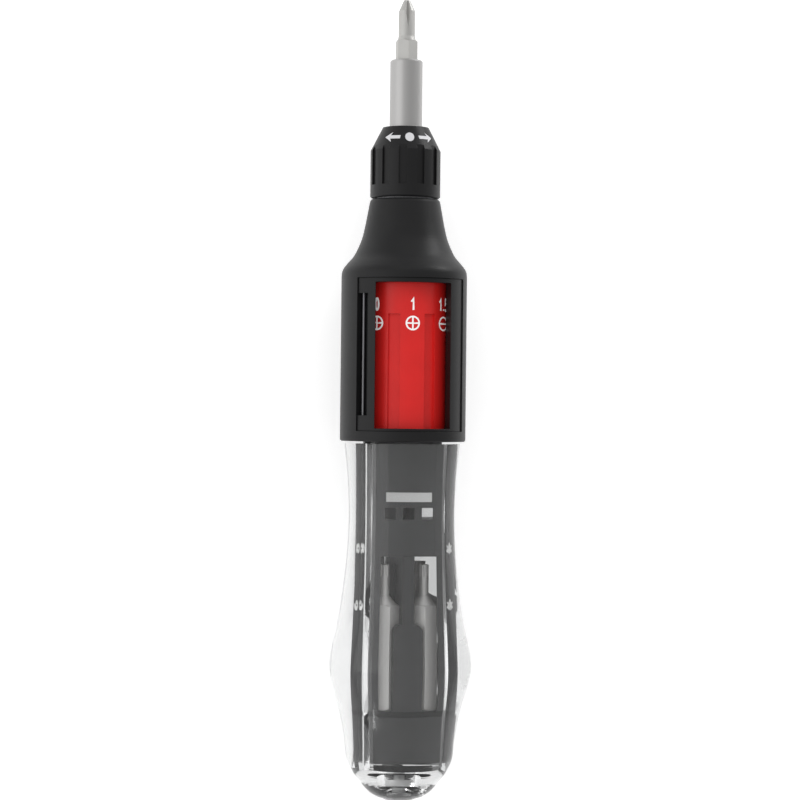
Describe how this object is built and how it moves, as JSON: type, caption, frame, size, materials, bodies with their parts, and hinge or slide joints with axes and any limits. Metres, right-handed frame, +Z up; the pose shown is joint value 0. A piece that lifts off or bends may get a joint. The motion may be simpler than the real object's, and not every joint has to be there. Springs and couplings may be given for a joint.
{
  "type": "pocket screwdriver",
  "caption": "Pocket screwdriver: clear waisted handle that slides as a push rod, black housing with a windowed red bit drum, ratchet nose with selector ring, star bits kept in the handle.",
  "frame": {"origin": "under the middle of the tool's length, on the surface it lies on, at the handle's belly", "axes": "+Y along the tool's axis towards the bit's tip, +Z up, the way the drum window faces"},
  "size_m": [0.0286, 0.161, 0.0286],
  "materials": {
    "tool_steel": "satin, nickel plated",
    "star_steel": "satin, bead blasted",
    "nose_steel": "fine turned, satin",
    "dark_steel": "oiled, dull",
    "spring_steel": "bright drawn wire",
    "plate_steel": "polished edge",
    "rod_steel": "ground",
    "guide_aluminium": "turned",
    "bush_brass": "turned",
    "housing_plastic": "fine mould texture",
    "panel_plastic": "fine mould texture",
    "ring_plastic": "fine mould texture",
    "carrier_plastic": "half gloss",
    "drum_red": "half gloss",
    "white_print": "pad printed",
    "black_rubber": "dull",
    "clear_plastic": "clear, polished"
  },
  "bodies": {
    "housing": {"housing_shell": "housing_plastic", "window_panel": "panel_plastic", "index_spring": "dark_steel", "index_pin": "spring_steel", "ratchet_body": "dark_steel", "front_bush": "bush_brass", "pawl_pins": "spring_steel", "detent_ball": "spring_steel", "detent_spring": "spring_steel", "guide_tube": "guide_aluminium", "loading_magnet": "dark_steel", "bit_carrier": "carrier_plastic", "carrier_cap": "carrier_plastic", "grip_ring": "black_rubber", "rod_guide_plate": "plate_steel", "front_left_star_bit": "star_steel", "front_right_star_bit": "star_steel", "rear_left_star_bit": "star_steel", "rear_right_star_bit": "star_steel"},
    "handle": {"handle_shell": "clear_plastic", "push_rod": "rod_steel", "rod_magnet": "dark_steel", "rod_nut": "spring_steel", "stop_washer": "black_rubber", "end_plug": "clear_plastic"},
    "drum": {"drum_sleeve": "drum_red", "drum_cap": "drum_red", "drum_phillips_0": "tool_steel", "drum_phillips_1": "tool_steel", "drum_slotted_15": "tool_steel", "drum_slotted_20": "tool_steel", "drum_slotted_30": "tool_steel", "drum_hex_15": "tool_steel", "drum_hex_20": "tool_steel"},
    "selector": {"selector_ring": "ring_plastic", "selector_marks": "white_print"},
    "nose": {"nose_sleeve": "nose_steel", "ratchet_gear": "dark_steel", "sleeve_ring": "dark_steel"},
    "bit": {"driver_bit": "tool_steel"},
    "pawl_right": {"right_pawl": "dark_steel", "right_pawl_spring": "spring_steel"},
    "pawl_left": {"left_pawl": "dark_steel", "left_pawl_spring": "spring_steel"}
  },
  "joints": [
    {"name": "handle_slide", "type": "slide", "parent": "housing", "child": "handle", "axis": [0, -1, 0], "range_m": [0, 0.0585]},
    {"name": "drum_spin", "type": "hinge", "parent": "housing", "child": "drum", "pos_m": [0, 0.0095, 0.0143], "axis": [0, 1, 0], "continuous": true},
    {"name": "selector_turn", "type": "hinge", "parent": "housing", "child": "selector", "pos_m": [0, 0.0475, 0.0143], "axis": [0, 1, 0], "range_deg": [-35, 35]},
    {"name": "nose_spin", "type": "hinge", "parent": "housing", "child": "nose", "pos_m": [0, 0.0475, 0.0143], "axis": [0, 1, 0], "continuous": true},
    {"name": "bit_pull", "type": "slide", "parent": "nose", "child": "bit", "axis": [0, 1, 0], "range_m": [0, 0.0175]},
    {"name": "right_pawl_lift", "type": "hinge", "parent": "housing", "child": "pawl_right", "pos_m": [0.00511, 0.0454, 0.01497], "axis": [0, 1, 0], "range_deg": [0, 9]},
    {"name": "left_pawl_lift", "type": "hinge", "parent": "housing", "child": "pawl_left", "pos_m": [-0.00511, 0.0454, 0.01497], "axis": [0, -1, 0], "range_deg": [0, 9]}
  ]
}
